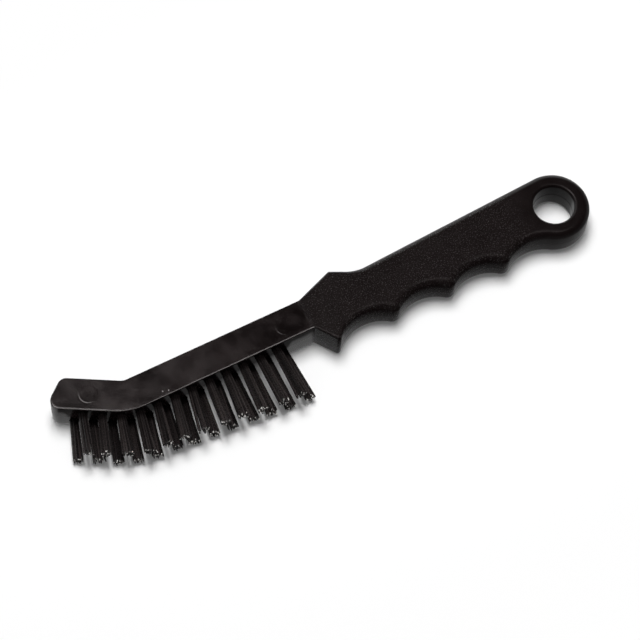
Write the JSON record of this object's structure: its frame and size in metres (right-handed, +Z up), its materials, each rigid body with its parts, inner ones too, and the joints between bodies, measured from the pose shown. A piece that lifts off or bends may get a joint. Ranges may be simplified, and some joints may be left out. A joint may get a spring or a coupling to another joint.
{
  "type": "grill brush",
  "caption": "One-hand cleaning brush: bent bar with two staggered rows of stiff bristle tufts, guard, finger-hollowed grip and a hanging hole in the ring end.",
  "frame": {"origin": "Under the middle of the whole brush as it lies on its side, on the surface it lies on.", "axes": "+X along the bar from the nose to the hanging end, bristles towards -Y, +Z up through the thickness."},
  "size_m": [0.216, 0.044, 0.013],
  "materials": {
    "handle_plastic": "satin bar, grained grip",
    "bristle_nylon": "drawn filament, cut ends",
    "anchor_steel": "drawn flat wire"
  },
  "bodies": {
    "root": {"handle": "handle_plastic", "tuft_lower_01": "bristle_nylon", "tuft_lower_02": "bristle_nylon", "tuft_lower_03": "bristle_nylon", "tuft_lower_04": "bristle_nylon", "tuft_lower_05": "bristle_nylon", "tuft_lower_06": "bristle_nylon", "tuft_lower_07": "bristle_nylon", "tuft_lower_08": "bristle_nylon", "tuft_lower_09": "bristle_nylon", "tuft_lower_10": "bristle_nylon", "tuft_lower_11": "bristle_nylon", "tuft_lower_12": "bristle_nylon", "tuft_lower_13": "bristle_nylon", "tuft_upper_01": "bristle_nylon", "tuft_upper_02": "bristle_nylon", "tuft_upper_03": "bristle_nylon", "tuft_upper_04": "bristle_nylon", "tuft_upper_05": "bristle_nylon", "tuft_upper_06": "bristle_nylon", "tuft_upper_07": "bristle_nylon", "tuft_upper_08": "bristle_nylon", "tuft_upper_09": "bristle_nylon", "tuft_upper_10": "bristle_nylon", "tuft_upper_11": "bristle_nylon", "tuft_upper_12": "bristle_nylon", "anchor_lower_01": "anchor_steel", "anchor_lower_02": "anchor_steel", "anchor_lower_03": "anchor_steel", "anchor_lower_04": "anchor_steel", "anchor_lower_05": "anchor_steel", "anchor_lower_06": "anchor_steel", "anchor_lower_07": "anchor_steel", "anchor_lower_08": "anchor_steel", "anchor_lower_09": "anchor_steel", "anchor_lower_10": "anchor_steel", "anchor_lower_11": "anchor_steel", "anchor_lower_12": "anchor_steel", "anchor_lower_13": "anchor_steel", "anchor_upper_01": "anchor_steel", "anchor_upper_02": "anchor_steel", "anchor_upper_03": "anchor_steel", "anchor_upper_04": "anchor_steel", "anchor_upper_05": "anchor_steel", "anchor_upper_06": "anchor_steel", "anchor_upper_07": "anchor_steel", "anchor_upper_08": "anchor_steel", "anchor_upper_09": "anchor_steel", "anchor_upper_10": "anchor_steel", "anchor_upper_11": "anchor_steel", "anchor_upper_12": "anchor_steel"}
  },
  "joints": []
}
